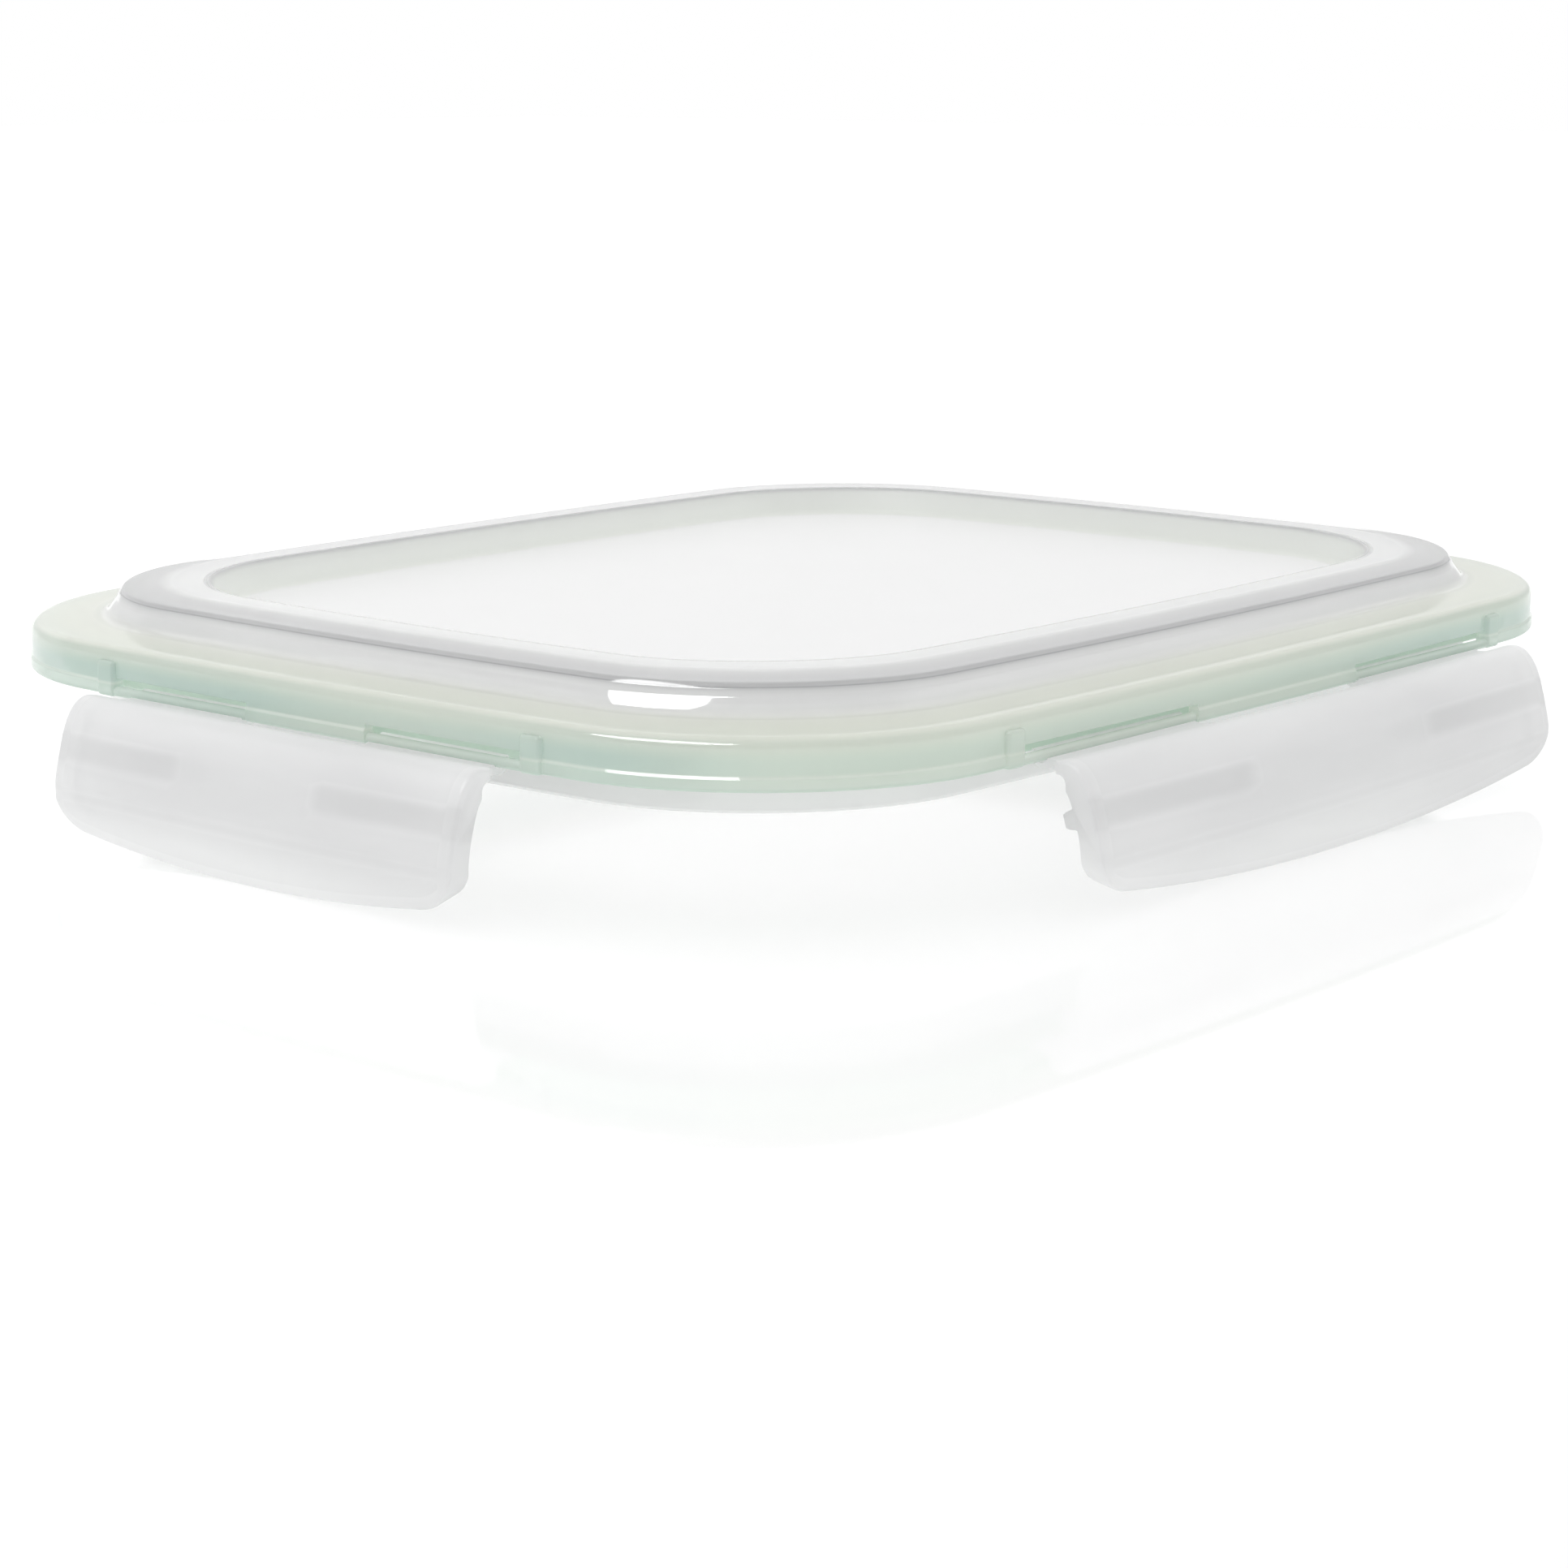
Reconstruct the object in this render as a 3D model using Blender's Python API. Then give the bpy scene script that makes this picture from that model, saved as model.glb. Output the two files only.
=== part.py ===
"""Clip-on lid of a rectangular food storage dish: a clear moulded lid, a soft
seal ring and four hinged latches.

Metres, +Z up. The lid stands on its four hanging latches, and the origin is on
the floor under its centre. X runs across the short direction, Y along the long
one. Dimensions below are in millimetres.
"""

import math

import bmesh
import bpy
from mathutils import Matrix, Vector

MM = 0.001

# --- driving dimensions -----------------------------------------------------
HALF_X = 80.0            # flange half width before the sides' bow
HALF_Y = 96.0            # flange half length before the sides' bow
CORNER_R = 33.2          # flange corner radius
CORNER_R_SLOPE = 0.40    # corner radius lost per mm of inset
SIDE_BOW = 2.69          # how far each side bulges at its middle
SKIRT_Z = 18.422          # the skirt's lower edge above the floor

FLANGE_TOP = 7.05        # heights above the skirt's lower edge: at the rim's foot
FLANGE_EDGE = 6.45       # and at the flange's outer edge
FLANGE_UNDER = 4.95
SKIRT_WALL = 1.6
BEAD_TOP = 1.62          # the skirt's lower bead
BEAD_PROUD = 0.22
BULLNOSE_R = 1.5
RIM_FOOT = 8.1           # inset of the stacking rim's outer foot
RIM_EDGE = 10.4          # inset of its outer top edge
RIM_INNER = 20.6         # inset of its inner top edge
RIM_TOP = 11.33
PANEL_EDGE = 21.7        # inset of the recessed panel
PANEL_TOP = 6.9
PANEL_UNDER = 5.0
PLUG_OUTER = 8.6         # inset of the plug wall that enters the dish
PLUG_INNER = 10.5
PLUG_BOTTOM = -4.8

SEAL_OUTER = 3.1         # insets of the seal ring
SEAL_LEG = 4.0
SEAL_INNER = 8.25
SEAL_BOTTOM = 0.5
SEAL_WEB = 3.3
SEAL_TOP = 4.6

PIN_R = 0.7              # hinge pins moulded across the notches
AXIS_Z = 0.6             # hinge axis above the skirt's lower edge
AXIS_INSET = 0.8         # and behind the skirt's face
KNUCKLE_IN = 0.98
KNUCKLE_OUT = 1.55
KNUCKLE_FROM = -15.0     # the open knuckle's arc, in degrees
KNUCKLE_TO = -205.0
KNUCKLE_END = 3.2        # how far it stops short of the latch's end
NOTCH_TOP = 2.43
NOTCH_DEPTH = 2.33
LUG_LENGTH = 3.3
LUG_PROUD = 0.55
LUG_TOP = 4.7

PLATE_T = 1.6            # latch wall
END_T = 3.3              # its turned-in end walls
BOTTOM_T = 2.2           # its turned-in lower rim
RIDGE_T = 4.9            # catch ridge, measured from the outer face
RIDGE_AT = 11.3          # its middle, along the profile from the hinge side
RIDGE_HALF = 1.5
END_WALL = 1.8
EDGE_ROUND = 0.55
LATCH_CORNER = (8.6, 7.2)  # the plate's lower corners, along and up
ROOF_CORNER_R = 2.6      # of its corners beside the hinge

# The latch's outer profile: distance outside the skirt's face, height.
LATCH_PROFILE = (
    (2.6, 0.35), (4.2, 0.95), (5.8, 1.15), (7.3, 0.6), (8.6, -0.8),
    (9.6, -2.8), (10.4, -5.4), (11.1, -8.0), (11.55, -10.0), (11.25, -10.9),
    (11.4, -12.5), (11.15, -14.5), (10.55, -16.4), (9.5, -18.6),
)

# Each latch: turn about Z, half length, notch from and to, arc rise at the
# ends, the lid's half size across it and along it. On the short sides the catch
# ridges stop at the end walls, and on the long sides they run through them.
SIDES = {
    "rear_latch": (0.0, 37.5, 11.2, 38.6, 3.2, HALF_Y, HALF_X),
    "front_latch": (180.0, 37.5, 11.2, 38.6, 3.2, HALF_Y, HALF_X),
    "left_latch": (90.0, 55.1, 19.2, 56.2, 4.1, HALF_X, HALF_Y),
    "right_latch": (-90.0, 55.1, 19.2, 56.2, 4.1, HALF_X, HALF_Y),
}

CORNER_STEPS = 8
LONG_STEPS = 6
SHORT_STEPS = 5


# --- scene ------------------------------------------------------------------
for old in list(bpy.data.objects):
    bpy.data.objects.remove(old, do_unlink=True)
parts = bpy.data.collections.new("food_container_lid")
cutters = bpy.data.collections.new("cutters")
cutters.hide_render = True
bpy.context.scene.collection.children.link(parts)
bpy.context.scene.collection.children.link(cutters)


def material(name, colour, roughness, transmission, alpha=1.0):
    made = bpy.data.materials.new(name)
    made.use_nodes = True
    shader = made.node_tree.nodes["Principled BSDF"]
    shader.inputs["Base Color"].default_value = (*colour, 1.0)
    shader.inputs["Roughness"].default_value = roughness
    shader.inputs["Metallic"].default_value = 0.0
    shader.inputs["Transmission Weight"].default_value = transmission
    shader.inputs["Alpha"].default_value = alpha
    made.diffuse_color = (*colour, 1.0)
    return made


clear = material("clear_plastic", (0.93, 0.94, 0.93), 0.05, 0.9)
mint = material("mint_silicone", (0.62, 0.78, 0.68), 0.45, 0.2)
frosts = {
    name: material("frosted_" + name, (0.84, 0.84, 0.85), 0.35, 0.4)
    for name in SIDES
}


# --- helpers ----------------------------------------------------------------
def rounded(corners, is_open=False):
    """Outline through the corners (u, v, radius, steps), each turned by an arc."""
    found = []
    count = len(corners)
    for i, (u, v, radius, steps) in enumerate(corners):
        here = Vector((u, v))
        if radius <= 0 or (is_open and i in (0, count - 1)):
            found.append(here)
            continue
        to_last = (Vector(corners[i - 1][:2]) - here).normalized()
        to_next = (Vector(corners[(i + 1) % count][:2]) - here).normalized()
        half = to_last.angle(to_next) / 2
        reach = radius / math.tan(half)
        centre = here + (to_last + to_next).normalized() * (radius / math.sin(half))
        start = here + to_last * reach - centre
        turn = start.angle_signed(here + to_next * reach - centre)
        for j in range(steps + 1):
            spun = Matrix.Rotation(-turn * j / steps, 2) @ start
            found.append(centre + spun)
    return found


def outline(inset, height):
    """The lid's rounded, bowed outline, this far inside the flange's edge."""
    ax, ay = HALF_X - inset, HALF_Y - inset
    radius = CORNER_R - CORNER_R_SLOPE * inset
    flat = []
    for k, (sx, sy) in enumerate(((1, 1), (-1, 1), (-1, -1), (1, -1))):
        for j in range(CORNER_STEPS + 1):
            a = math.radians(90 * k + 90 * j / CORNER_STEPS)
            flat.append(
                (sx * (ax - radius) + radius * math.cos(a),
                 sy * (ay - radius) + radius * math.sin(a))
            )
        steps = SHORT_STEPS if k % 2 == 0 else LONG_STEPS
        last = flat[-1]
        nx, ny = ((-1, 1), (-1, -1), (1, -1), (1, 1))[k]
        a = math.radians(90 * (k + 1))
        following = (
            nx * (ax - radius) + radius * math.cos(a),
            ny * (ay - radius) + radius * math.sin(a),
        )
        for j in range(1, steps):
            t = j / steps
            flat.append(
                (last[0] + (following[0] - last[0]) * t,
                 last[1] + (following[1] - last[1]) * t)
            )
    return [
        Vector((
            x * (1 + SIDE_BOW * (1 - (y / ay) ** 2) / ax),
            y * (1 + SIDE_BOW * (1 - (x / ax) ** 2) / ay),
            SKIRT_Z + height,
        )) * MM
        for x, y in flat
    ]


def loft(name, loops, ring):
    """A closed mesh through loops of equal count. A ring joins its last loop
    to its first, and anything else is capped at both ends."""
    bm = bmesh.new()
    rows = [[bm.verts.new(point) for point in loop] for loop in loops]
    for i in range(len(rows) if ring else len(rows) - 1):
        a, b = rows[i], rows[(i + 1) % len(rows)]
        for j in range(len(a)):
            k = (j + 1) % len(a)
            bm.faces.new((a[j], a[k], b[k], b[j]))
    if not ring:
        bm.faces.new(rows[0])
        bm.faces.new(rows[-1])
    bmesh.ops.recalc_face_normals(bm, faces=bm.faces)
    mesh = bpy.data.meshes.new(name)
    bm.to_mesh(mesh)
    bm.free()
    return mesh


def finish_mesh(mesh):
    mesh.shade_smooth()
    mesh.set_sharp_from_angle(angle=math.radians(32))


def add(name, mesh, collection, mat=None):
    obj = bpy.data.objects.new(name, mesh)
    collection.objects.link(obj)
    if mat:
        mesh.materials.clear()
        mesh.materials.append(mat)
    if collection is cutters:
        obj.hide_render = True
        obj.display_type = "WIRE"
    return obj


def boolean(obj, other, operation):
    modifier = obj.modifiers.new(operation.lower() + "_" + other.name, "BOOLEAN")
    modifier.operation = operation
    modifier.object = other
    modifier.solver = "EXACT"
    return modifier


def face_at(side, s):
    """The skirt's face from the lid's centre, at s along the side."""
    across, along = SIDES[side][5:7]
    return across + SIDE_BOW * (1 - (s / along) ** 2)


def axis_out(side):
    """The hinge axis from the lid's centre."""
    return face_at(side, 0.65 * SIDES[side][1]) - AXIS_INSET


def side_matrix(side):
    """From a side's frame (x along the hinge, y outward, z up, on the hinge
    axis) to the world."""
    turn = Matrix.Rotation(math.radians(SIDES[side][0]), 4, "Z")
    place = Vector((0, axis_out(side), SKIRT_Z + AXIS_Z)) * MM
    return turn @ Matrix.Translation(place)


# --- lid body ---------------------------------------------------------------
lid_profile = rounded([
    (PANEL_EDGE + 2.2, PANEL_TOP, 0, 0),
    (PANEL_EDGE, PANEL_TOP, 1.0, 2),
    (RIM_INNER, RIM_TOP, 0.9, 3),
    (15.5, RIM_TOP, 7.0, 1),
    (RIM_EDGE, RIM_TOP - 0.58, 0.9, 3),
    (RIM_FOOT, FLANGE_TOP, 1.6, 3),
    (BEAD_PROUD, FLANGE_EDGE, BULLNOSE_R, 4),
    (BEAD_PROUD, BEAD_TOP + 0.2, 0, 0),
    (0.0, BEAD_TOP, 0, 0),
    (0.0, 0.0, 0.35, 1),
    (SKIRT_WALL, 0.0, 0.35, 1),
    (SKIRT_WALL, FLANGE_UNDER, 0.7, 2),
    (PLUG_OUTER, FLANGE_UNDER, 0.5, 1),
    (PLUG_OUTER, PLUG_BOTTOM, 0.5, 2),
    (PLUG_INNER, PLUG_BOTTOM, 0.5, 2),
    (PLUG_INNER, 5.5, 0, 0),
    (12.5, 9.25, 0.7, 2),
    (18.9, 9.5, 0.7, 2),
    (19.8, PANEL_UNDER, 0.8, 2),
    (PANEL_EDGE + 2.0, PANEL_UNDER, 0, 0),
], is_open=True)
lid_mesh = loft("lid_body", [outline(d, z) for d, z in lid_profile], ring=False)
lid = add("lid_body", lid_mesh, parts, clear)


def box_into(bm, matrix, lo, hi, bevel=0.0):
    made = bmesh.ops.create_cube(bm, size=1.0)["verts"]
    for vert in made:
        vert.co = Vector((
            lo[i] + (vert.co[i] + 0.5) * (hi[i] - lo[i]) for i in range(3)
        ))
    if bevel:
        edges = list({edge for vert in made for edge in vert.link_edges})
        made = bmesh.ops.bevel(
            bm, geom=edges, offset=bevel, segments=2, profile=0.5,
            affect="EDGES", clamp_overlap=True,
        )["verts"]
        made = list({v for v in made} | {v for v in bm.verts if not v.tag})
    for vert in made:
        vert.co = matrix @ (Vector(vert.co) * MM)
    for vert in bm.verts:
        vert.tag = True


for side, (_, half, notch_in, notch_out, *_) in SIDES.items():
    notch_bm, pin_bm, lug_bm = bmesh.new(), bmesh.new(), bmesh.new()
    frame = side_matrix(side)
    for sign in (-1, 1):
        ends = sorted((sign * notch_in, sign * notch_out))
        middle = face_at(side, (notch_in + notch_out) / 2) - axis_out(side)
        box_into(
            notch_bm, frame,
            (ends[0], middle - NOTCH_DEPTH, -AXIS_Z - 1.5),
            (ends[1], middle + 2.9, NOTCH_TOP - AXIS_Z),
        )
        pin = bmesh.ops.create_cone(
            pin_bm, cap_ends=True, segments=16, radius1=PIN_R * MM,
            radius2=PIN_R * MM, depth=(notch_out - notch_in + 2.4) * MM,
            matrix=frame
            @ Matrix.Translation(Vector(((ends[0] + ends[1]) / 2, 0, 0)) * MM)
            @ Matrix.Rotation(math.radians(90), 4, "Y"),
        )
        lug = sorted((sign * (notch_out - 0.3), sign * (notch_out + LUG_LENGTH - 0.3)))
        proud = face_at(side, notch_out + LUG_LENGTH / 2) - axis_out(side)
        box_into(
            lug_bm, frame,
            (lug[0], proud - 1.3, -AXIS_Z - 0.12),
            (lug[1], proud + LUG_PROUD, LUG_TOP - AXIS_Z),
            bevel=0.5,
        )
    place = side.split("_")[0]
    for bm, name, operation in (
        (notch_bm, place + "_notches", "DIFFERENCE"),
        (pin_bm, place + "_pins", "UNION"),
        (lug_bm, place + "_lugs", "UNION"),
    ):
        mesh = bpy.data.meshes.new(name)
        bm.to_mesh(mesh)
        bm.free()
        boolean(lid, add(name, mesh, cutters), operation)
finish_mesh(lid_mesh)


# --- seal ring --------------------------------------------------------------
seal_profile = rounded([
    (SEAL_OUTER, SEAL_BOTTOM, 0.3, 1),
    (SEAL_OUTER, SEAL_TOP, 0.3, 1),
    (SEAL_INNER, SEAL_TOP, 0.3, 1),
    (SEAL_INNER, SEAL_WEB, 0.3, 1),
    (6.9, SEAL_WEB, 0, 0),
    (6.3, SEAL_WEB - 0.7, 0.3, 1),
    (5.7, SEAL_WEB, 0, 0),
    (SEAL_LEG, SEAL_WEB, 0.3, 1),
    (SEAL_LEG, SEAL_BOTTOM, 0.3, 1),
])
seal_mesh = loft("seal_ring", [outline(d, z) for d, z in seal_profile], ring=True)
finish_mesh(seal_mesh)
add("seal_ring", seal_mesh, parts, mint)


# --- latches ----------------------------------------------------------------
def smooth_curve(points, per_span=8):
    """Catmull-Rom curve through the points."""
    found = []
    padded = [points[0], *points, points[-1]]
    for i in range(1, len(padded) - 2):
        p0, p1, p2, p3 = (Vector(p) for p in padded[i - 1:i + 3])
        for j in range(per_span):
            t = j / per_span
            found.append(0.5 * (
                2 * p1 + (p2 - p0) * t + (2 * p0 - 5 * p1 + 4 * p2 - p3) * t ** 2
                + (3 * p1 - p0 - 3 * p2 + p3) * t ** 3
            ))
    found.append(Vector(points[-1]))
    return found


curve = smooth_curve(LATCH_PROFILE)
lengths = [0.0]
for a, b in zip(curve, curve[1:]):
    lengths.append(lengths[-1] + (b - a).length)


def at_length(length):
    """Point of the latch's outer profile, this far along it."""
    length = max(0.0, min(lengths[-1], length))
    i = 1
    while i < len(lengths) - 1 and lengths[i] < length:
        i += 1
    t = (length - lengths[i - 1]) / (lengths[i] - lengths[i - 1])
    return curve[i - 1].lerp(curve[i], t)


def on_profile(length):
    """Point of the outer profile and the direction of its wall's thickness."""
    along = (at_length(length + 2.2) - at_length(length - 2.2)).normalized()
    return at_length(length), Vector((-along.y, along.x))


def length_at_height(height):
    """Length along the profile where its lower part passes this height."""
    for i in range(len(curve) - 1, 0, -1):
        if curve[i - 1].y >= height:
            t = (curve[i - 1].y - height) / (curve[i - 1].y - curve[i].y)
            return lengths[i - 1] + (lengths[i] - lengths[i - 1]) * t
    return 0.0


RIDGE_ROWS = (
    (RIDGE_AT - RIDGE_HALF - 0.06, 0.0), (RIDGE_AT - RIDGE_HALF, 0.62),
    (RIDGE_AT - 0.6, 0.97), (RIDGE_AT + 0.6, 0.97),
    (RIDGE_AT + RIDGE_HALF, 0.62), (RIDGE_AT + RIDGE_HALF + 0.06, 0.0),
)
UPPER_ROWS = (0.0, 2.2, 4.2, 6.2, 8.2)
LOWER_ROWS = (16.5, 17.4)


def latch_mesh(side):
    _, half, notch_in, notch_out, rise, _, _ = SIDES[side]
    ridge_from = notch_in + 0.8
    corner, corner_up = LATCH_CORNER
    bend = half - corner
    is_short = half < 50.0

    def section(s):
        a = abs(s)
        bottom = LATCH_PROFILE[-1][1] + rise * (a / half) ** 2
        if a > bend:
            bottom += corner_up * (
                1 - math.sqrt(max(0.0, 1 - ((a - bend) / corner) ** 2))
            )
        end = length_at_height(bottom)
        over = max(0.0, a - (half - ROOF_CORNER_R))
        start = ROOF_CORNER_R - math.sqrt(max(0.0, ROOF_CORNER_R ** 2 - over ** 2))
        rows = [(start + row * (1 - start / RIDGE_ROWS[0][0]), 0.0) for row in UPPER_ROWS]
        rows += list(RIDGE_ROWS)
        floor_row = RIDGE_ROWS[-1][0]
        lip = min(END_WALL, 0.55 * (end - floor_row))
        room = end - lip - 0.1 - floor_row
        scale = min(1.0, room / (LOWER_ROWS[-1] + 0.4 - floor_row))
        rows += [(floor_row + (row - floor_row) * scale, 0.0) for row in LOWER_ROWS]
        rows += [(end - lip - 0.06, 0.0), (end - lip, -1.0), (end, -1.0)]
        is_end = a > half - END_WALL - 0.01
        out_face = face_at(side, s) - axis_out(side)
        outer, inner = [], []
        for row, kind in rows:
            point, normal = on_profile(row)
            depth = PLATE_T
            if is_end:
                depth = PLATE_T + (END_T - PLATE_T) * max(0.0, min(1.0, (row - 1.5) / 5.5))
            elif kind < 0:
                depth = BOTTOM_T
            if kind > 0 and a > ridge_from - 0.01 and not (is_end and is_short):
                depth = max(depth, PLATE_T + (RIDGE_T - PLATE_T) * kind)
            skin = EDGE_ROUND if a > half - 0.01 else 0.0
            if row == end:
                skin = max(skin, 0.4)
            if a > half - 0.01:
                depth -= 0.25
            for found, inset in ((outer, skin), (inner, depth)):
                spot = point - normal * inset
                found.append(Vector((s, spot.x + out_face, spot.y - AXIS_Z)) * MM)
        return outer + inner[::-1]

    marks = [0.0, ridge_from * 0.5, ridge_from - 0.06, ridge_from,
             (ridge_from + bend) / 2, bend]
    marks += [bend + corner * f for f in (0.36, 0.6)] + [half - ROOF_CORNER_R]
    marks += [half - END_WALL - 0.06, half - END_WALL, half - EDGE_ROUND, half]
    stations = sorted({-m for m in marks} | set(marks))
    shell = add("shell", loft("shell", [section(s) for s in stations], ring=False), cutters)

    # Knuckles: an open ring round the pin and the arm to the plate.
    def arc(radius, start, end, steps):
        return [
            (radius * math.cos(math.radians(start + (end - start) * j / steps)),
             radius * math.sin(math.radians(start + (end - start) * j / steps)))
            for j in range(steps + 1)
        ]

    plate = face_at(side, 0.65 * half) - axis_out(side)
    outline_2d = (
        arc(KNUCKLE_IN, KNUCKLE_TO, KNUCKLE_FROM, 12)
        + [(KNUCKLE_OUT * math.cos(math.radians(KNUCKLE_FROM)),
            KNUCKLE_OUT * math.sin(math.radians(KNUCKLE_FROM))),
           (plate + 2.9, 0.30 - AXIS_Z), (plate + 4.7, 0.55 - AXIS_Z),
           (plate + 4.7, -0.25 - AXIS_Z), (plate + 2.8, -0.85 - AXIS_Z)]
        + arc(KNUCKLE_OUT, -75.0, KNUCKLE_TO, 9)
    )
    joined = shell
    for sign in (-1, 1):
        span = sorted((sign * (notch_in + 0.8), sign * (half - KNUCKLE_END)))
        loops = [
            [Vector((s, y, z)) * MM for y, z in outline_2d] for s in span
        ]
        knuckle = add("knuckle", loft("knuckle", loops, ring=False), cutters)
        boolean(joined, knuckle, "UNION")
    bpy.context.view_layer.update()
    graph = bpy.context.evaluated_depsgraph_get()
    mesh = bpy.data.meshes.new_from_object(shell.evaluated_get(graph))
    mesh.name = side
    for helper in [o for o in cutters.objects if o.name.startswith(("shell", "knuckle"))]:
        bpy.data.objects.remove(helper, do_unlink=True)
    finish_mesh(mesh)
    return mesh


long_mesh = latch_mesh("left_latch")
short_mesh = latch_mesh("rear_latch")
for side in SIDES:
    source = short_mesh if side in ("rear_latch", "front_latch") else long_mesh
    mesh = source.copy()
    mesh.name = side
    latch = add(side, mesh, parts, frosts[side])
    latch.matrix_world = side_matrix(side)
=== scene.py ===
"""Looks for the clip-on food container lid: clear moulding, mint seal ring and
four frosted latches, on a glossy white sweep.

Metres, +Z up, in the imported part's frame. The shapes repeat the part's own
dimensions (in millimetres below) with finer steps, rounder edges and softer
transitions, so that clear and frosted plastic shade as they should.
"""
import math

import bmesh
import bpy
from mathutils import Matrix, Quaternion, Vector
from mathutils.kdtree import KDTree


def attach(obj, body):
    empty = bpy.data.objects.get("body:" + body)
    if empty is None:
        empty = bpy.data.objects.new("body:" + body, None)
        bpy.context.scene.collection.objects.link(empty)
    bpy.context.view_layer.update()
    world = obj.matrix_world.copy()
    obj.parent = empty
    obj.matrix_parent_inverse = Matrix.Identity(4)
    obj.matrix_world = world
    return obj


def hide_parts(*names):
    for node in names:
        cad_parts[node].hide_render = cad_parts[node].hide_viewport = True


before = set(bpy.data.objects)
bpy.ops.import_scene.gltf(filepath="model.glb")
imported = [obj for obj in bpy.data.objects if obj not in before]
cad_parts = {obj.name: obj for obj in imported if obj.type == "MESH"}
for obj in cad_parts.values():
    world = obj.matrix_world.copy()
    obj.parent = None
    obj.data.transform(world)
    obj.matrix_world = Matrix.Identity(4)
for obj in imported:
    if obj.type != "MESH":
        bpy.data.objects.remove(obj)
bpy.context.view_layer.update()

MM = 0.001

# --- the part's dimensions, in millimetres -------------------------------------
HALF_X, HALF_Y = 80.0, 96.0
CORNER_R, CORNER_R_SLOPE = 33.2, 0.40
SIDE_BOW = 2.69
SKIRT_Z = 18.422
FLANGE_TOP, FLANGE_EDGE, FLANGE_UNDER = 7.05, 6.45, 4.95
SKIRT_WALL = 1.6
BEAD_TOP, BEAD_PROUD = 1.62, 0.22
BULLNOSE_R = 1.5
RIM_FOOT, RIM_EDGE, RIM_INNER, RIM_TOP = 8.1, 10.4, 20.6, 11.33
PANEL_EDGE, PANEL_TOP, PANEL_UNDER = 21.7, 6.9, 5.0
PLUG_OUTER, PLUG_INNER, PLUG_BOTTOM = 8.6, 10.5, -4.8
SEAL_OUTER, SEAL_LEG, SEAL_INNER = 3.1, 4.0, 8.25
SEAL_BOTTOM, SEAL_WEB, SEAL_TOP = 0.5, 3.3, 4.6
PIN_R, AXIS_Z, AXIS_INSET = 0.7, 0.6, 0.8
KNUCKLE_IN, KNUCKLE_OUT = 0.98, 1.55
KNUCKLE_FROM, KNUCKLE_TO, KNUCKLE_END = -15.0, -205.0, 3.2
NOTCH_TOP, NOTCH_DEPTH = 2.43, 2.33
LUG_LENGTH, LUG_PROUD, LUG_TOP = 3.3, 0.55, 4.7
PLATE_T, END_T, BOTTOM_T, RIDGE_T = 1.6, 3.3, 2.2, 4.9
RIDGE_AT, RIDGE_HALF = 11.3, 1.5
END_WALL = 1.8
LATCH_CORNER, ROOF_CORNER_R = (5.6, 4.7), 2.6
LATCH_PROFILE = (
    (2.6, 0.35), (4.2, 0.95), (5.8, 1.15), (7.3, 0.6), (8.6, -0.8),
    (9.6, -2.8), (10.4, -5.4), (11.08, -8.0), (11.42, -9.8), (11.42, -11.1),
    (11.38, -12.6), (11.12, -14.5), (10.55, -16.4), (9.5, -18.6),
)
SIDES = {
    "rear_latch": (0.0, 37.5, 11.2, 38.6, 3.2, HALF_Y, HALF_X),
    "front_latch": (180.0, 37.5, 11.2, 38.6, 3.2, HALF_Y, HALF_X),
    "left_latch": (90.0, 55.1, 19.2, 56.2, 4.1, HALF_X, HALF_Y),
    "right_latch": (-90.0, 55.1, 19.2, 56.2, 4.1, HALF_X, HALF_Y),
}

CORNER_STEPS, LONG_STEPS, SHORT_STEPS = 30, 30, 26


# --- shape helpers --------------------------------------------------------------
def rounded(corners, is_open=False):
    """Outline through the corners (u, v, radius, steps), each turned by an arc."""
    found = []
    count = len(corners)
    for i, (u, v, radius, steps) in enumerate(corners):
        here = Vector((u, v))
        if radius <= 0 or (is_open and i in (0, count - 1)):
            found.append(here)
            continue
        to_last = (Vector(corners[i - 1][:2]) - here).normalized()
        to_next = (Vector(corners[(i + 1) % count][:2]) - here).normalized()
        half = to_last.angle(to_next) / 2
        reach = radius / math.tan(half)
        centre = here + (to_last + to_next).normalized() * (radius / math.sin(half))
        start = here + to_last * reach - centre
        turn = start.angle_signed(here + to_next * reach - centre)
        for j in range(steps + 1):
            found.append(centre + Matrix.Rotation(-turn * j / steps, 2) @ start)
    return found


def spread(points, most):
    """The same outline with no step longer than this."""
    found = []
    for a, b in zip(points, points[1:]):
        n = max(1, math.ceil((b - a).length / most))
        found += [a.lerp(b, j / n) for j in range(n)]
    return found + [points[-1]]


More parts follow.
